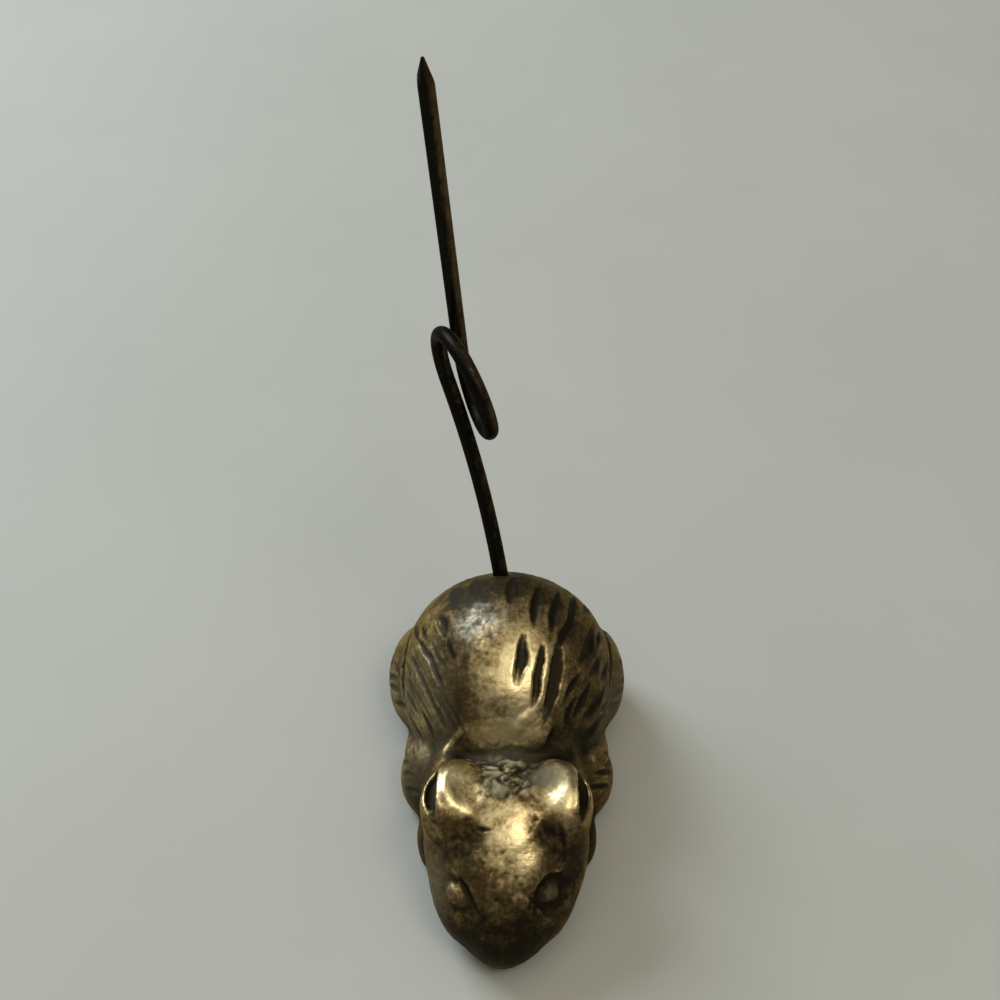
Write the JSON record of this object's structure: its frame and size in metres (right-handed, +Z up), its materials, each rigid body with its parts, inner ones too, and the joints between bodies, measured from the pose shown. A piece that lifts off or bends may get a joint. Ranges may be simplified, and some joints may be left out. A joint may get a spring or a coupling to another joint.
{
  "type": "bill spike",
  "caption": "Cast mouse with a flat underside, whose wire tail bends once round into a loop and rises to an upright nipped point that spears bills and receipts.",
  "frame": {"origin": "on the flat underside, under the middle of the mouse's length", "axes": "+Z up along the spike, -Y towards the nose, +X to the right of someone who faces the mouse"},
  "size_m": [0.039, 0.0763, 0.1061],
  "materials": {
    "cast_brass": "aged and handled, bright on the high places and dark brown in the hollows",
    "tail_wire": "dark oxidised wire, rubbed to a dull brass along the upright"
  },
  "bodies": {
    "root": {"mouse_body": "cast_brass", "tail_spike": "tail_wire"}
  },
  "joints": []
}
